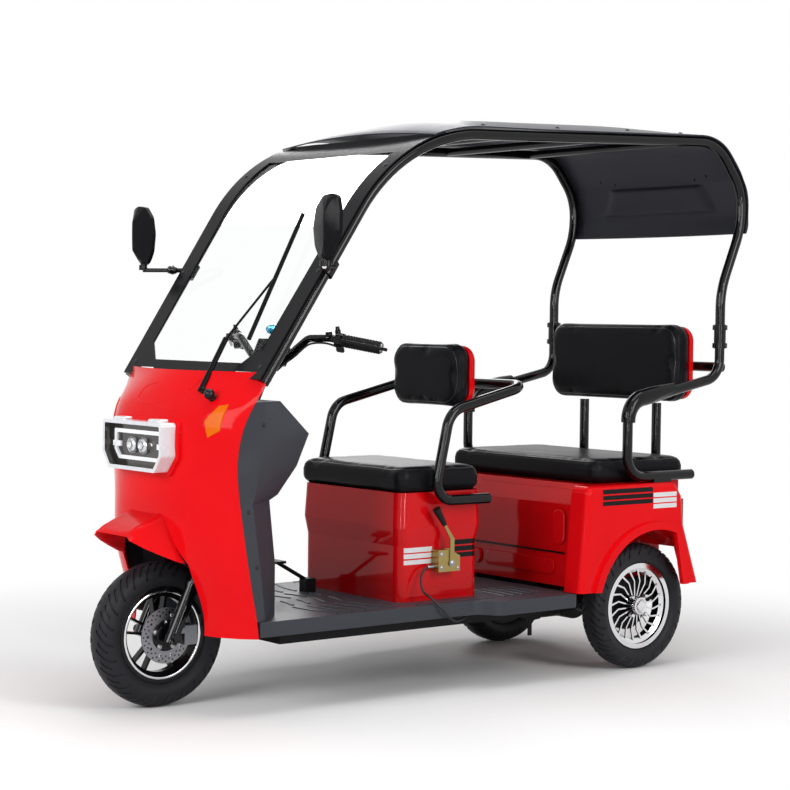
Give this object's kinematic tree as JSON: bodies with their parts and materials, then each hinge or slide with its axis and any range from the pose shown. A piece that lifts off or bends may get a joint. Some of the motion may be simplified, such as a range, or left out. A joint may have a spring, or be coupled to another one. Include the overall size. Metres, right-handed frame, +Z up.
{
  "type": "electric passenger tricycle with roof",
  "caption": "Electric passenger tricycle: steered front wheel, red bodywork, driver's seat, rear bench, and a black panel roof on bent tubes.",
  "frame": {"origin": "middle of the overall box, on the floor", "axes": "+Z up, +Y to the rear, +X to the vehicle's left"},
  "size_m": [1.0594, 2.2219, 1.7508],
  "materials": {
    "frame_paint": "satin black paint",
    "tube_paint": "gloss black paint",
    "red_body": "gloss red",
    "red_steel": "gloss red paint",
    "dark_plastic": "fine grain",
    "black_plastic": "satin",
    "gloss_black": "gloss",
    "silver_plastic": "silver lacquer",
    "lamp_lens": "bright",
    "amber_lens": "clear amber",
    "red_lens": "clear red",
    "clear_sheet": "clear",
    "leatherette": "black grained",
    "tyre_rubber": "satin",
    "grip_rubber": "matt",
    "cable_jacket": "smooth",
    "cast_black": "black paint with machined rim",
    "chrome_rim": "bright with black ground",
    "steel": "brushed",
    "cast_alloy": "cast",
    "zinc": "yellow zinc plate",
    "battery_case": "plain"
  },
  "bodies": {
    "chassis": {"main_frame": "frame_paint", "footboard": "dark_plastic", "front_fairing": "red_body", "front_mudguard": "red_body", "front_signals": "amber_lens", "headlamp_housing": "silver_plastic", "headlamp_lights": "lamp_lens", "inner_shield": "dark_plastic", "roof_frame": "tube_paint", "roof_panel": "black_plastic", "windscreen_frame": "black_plastic", "windscreen_glass": "clear_sheet", "wiper": "black_plastic", "mirrors": "black_plastic", "driver_box": "red_steel", "battery": "battery_case", "front_arm_loop": "tube_paint", "front_backrest_pad": "leatherette", "front_backrest_cover": "red_body", "parking_brake": "zinc", "parking_brake_cable": "cable_jacket", "brake_pedal": "frame_paint", "rear_box": "red_steel", "rear_fenders": "red_body", "rear_backrest_pad": "leatherette", "rear_backrest_cover": "red_body", "rear_arm_frame": "tube_paint", "armrest_pads": "gloss_black", "tail_lamps": "red_lens", "rear_axle": "frame_paint", "leaf_springs": "frame_paint"},
    "steering": {"fork": "tube_paint", "brake_caliper": "cast_alloy", "handlebar": "tube_paint", "grips_and_levers": "grip_rubber", "instrument_pod": "black_plastic"},
    "front_wheel": {"front_tyre": "tyre_rubber", "front_rim": "cast_black", "brake_disc": "steel"},
    "rear_wheel_left": {"rear_tyre_left": "tyre_rubber", "rear_rim_left": "chrome_rim"},
    "rear_wheel_right": {"rear_tyre_right": "tyre_rubber", "rear_rim_right": "chrome_rim"},
    "driver_lid": {"front_cushion": "leatherette"},
    "passenger_lid": {"rear_cushion": "leatherette"}
  },
  "joints": [
    {"name": "steering", "type": "hinge", "parent": "chassis", "child": "steering", "pos_m": [0, -0.75358, 0.48483], "axis": [0, 0.4226, 0.9063], "range_deg": [-35, 35]},
    {"name": "front_wheel_spin", "type": "hinge", "parent": "steering", "child": "front_wheel", "pos_m": [0, -0.9029, 0.2075], "axis": [1, 0, 0], "continuous": true},
    {"name": "rear_wheel_left_spin", "type": "hinge", "parent": "chassis", "child": "rear_wheel_left", "pos_m": [0.322, 0.6831, 0.201], "axis": [1, 0, 0], "continuous": true},
    {"name": "rear_wheel_right_spin", "type": "hinge", "parent": "chassis", "child": "rear_wheel_right", "pos_m": [-0.322, 0.6831, 0.201], "axis": [1, 0, 0], "continuous": true},
    {"name": "driver_lid_hinge", "type": "hinge", "parent": "chassis", "child": "driver_lid", "pos_m": [0, -0.2309, 0.5953], "axis": [1, 0, 0], "range_deg": [0, 75]},
    {"name": "passenger_lid_hinge", "type": "hinge", "parent": "chassis", "child": "passenger_lid", "pos_m": [0, 0.4731, 0.6003], "axis": [1, 0, 0], "range_deg": [0, 75]}
  ]
}
